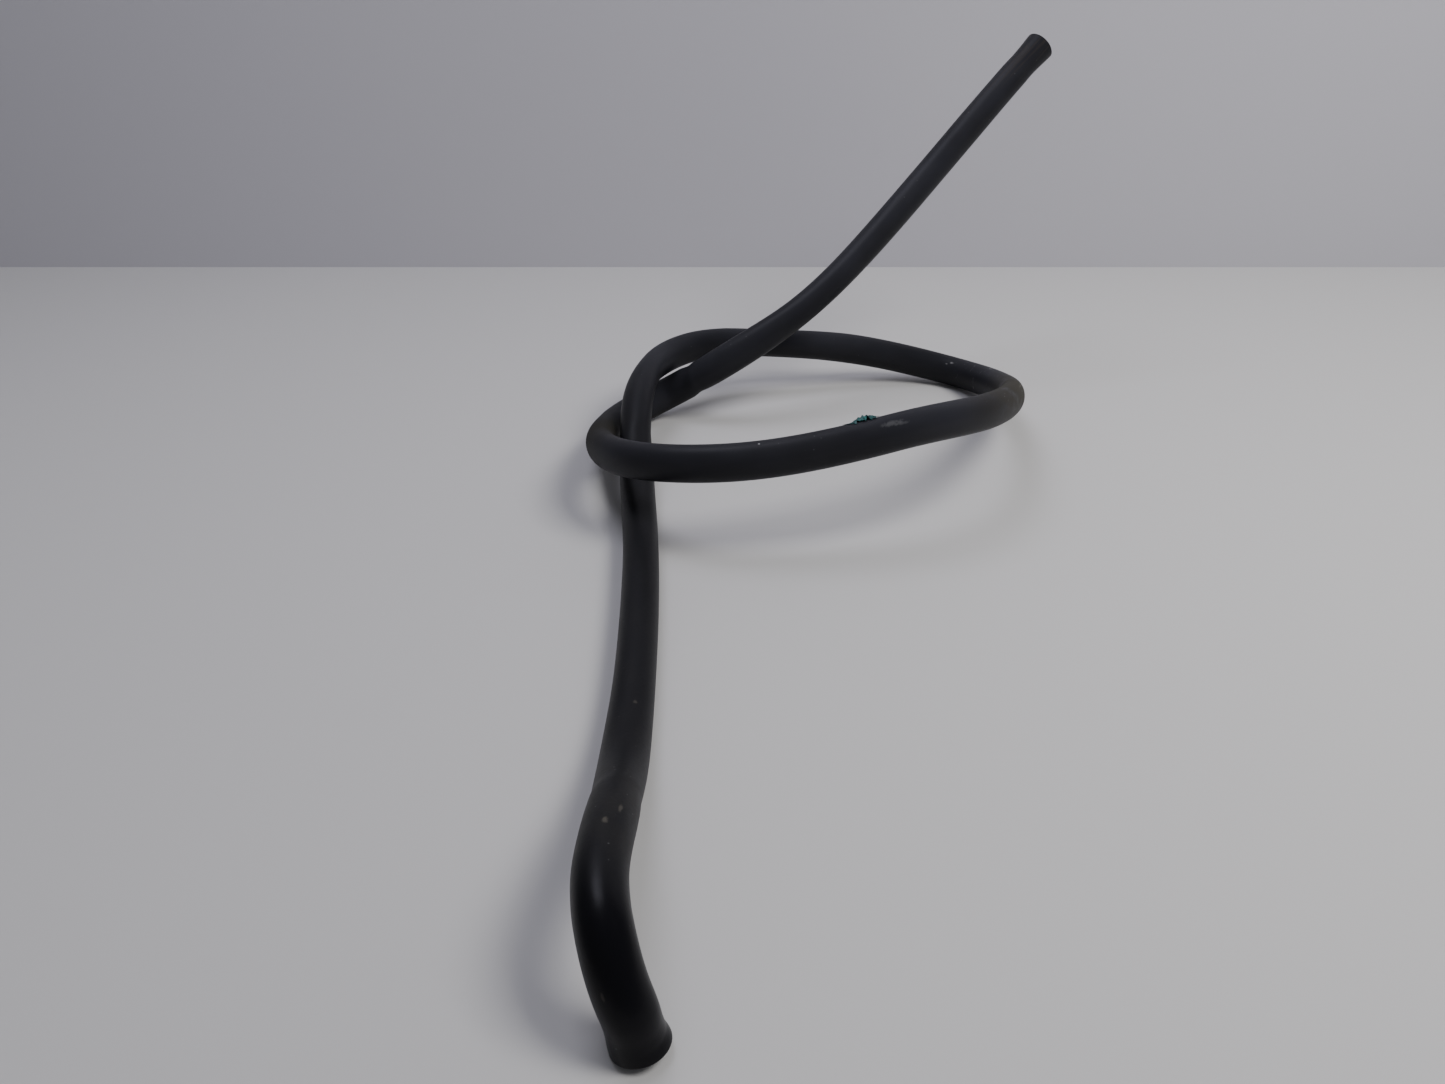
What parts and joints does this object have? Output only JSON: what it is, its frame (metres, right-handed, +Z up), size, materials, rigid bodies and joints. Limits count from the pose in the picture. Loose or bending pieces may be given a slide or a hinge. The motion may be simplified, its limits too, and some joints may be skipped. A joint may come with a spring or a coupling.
{
  "type": "moulded rubber hose",
  "caption": "Half-inch black rubber hose with a moulded elbow at one end, lying in a loose overhand knot with its other end raised.",
  "frame": {"origin": "centre of the hose's footprint, on the surface that it lies on", "axes": "+Y along the hose as it leaves the elbow, from the elbow to the knot; +Z up; +X to the side that the loop and the raised end lean to"},
  "size_m": [0.3059, 0.6258, 0.2258],
  "materials": {
    "cover_rubber": "satin",
    "liner_rubber": "matte",
    "braid_textile": "matte",
    "tape_film": "satin"
  },
  "bodies": {
    "root": {"cover": "cover_rubber", "liner": "liner_rubber", "braid": "braid_textile", "tape_scrap": "tape_film"}
  },
  "joints": []
}
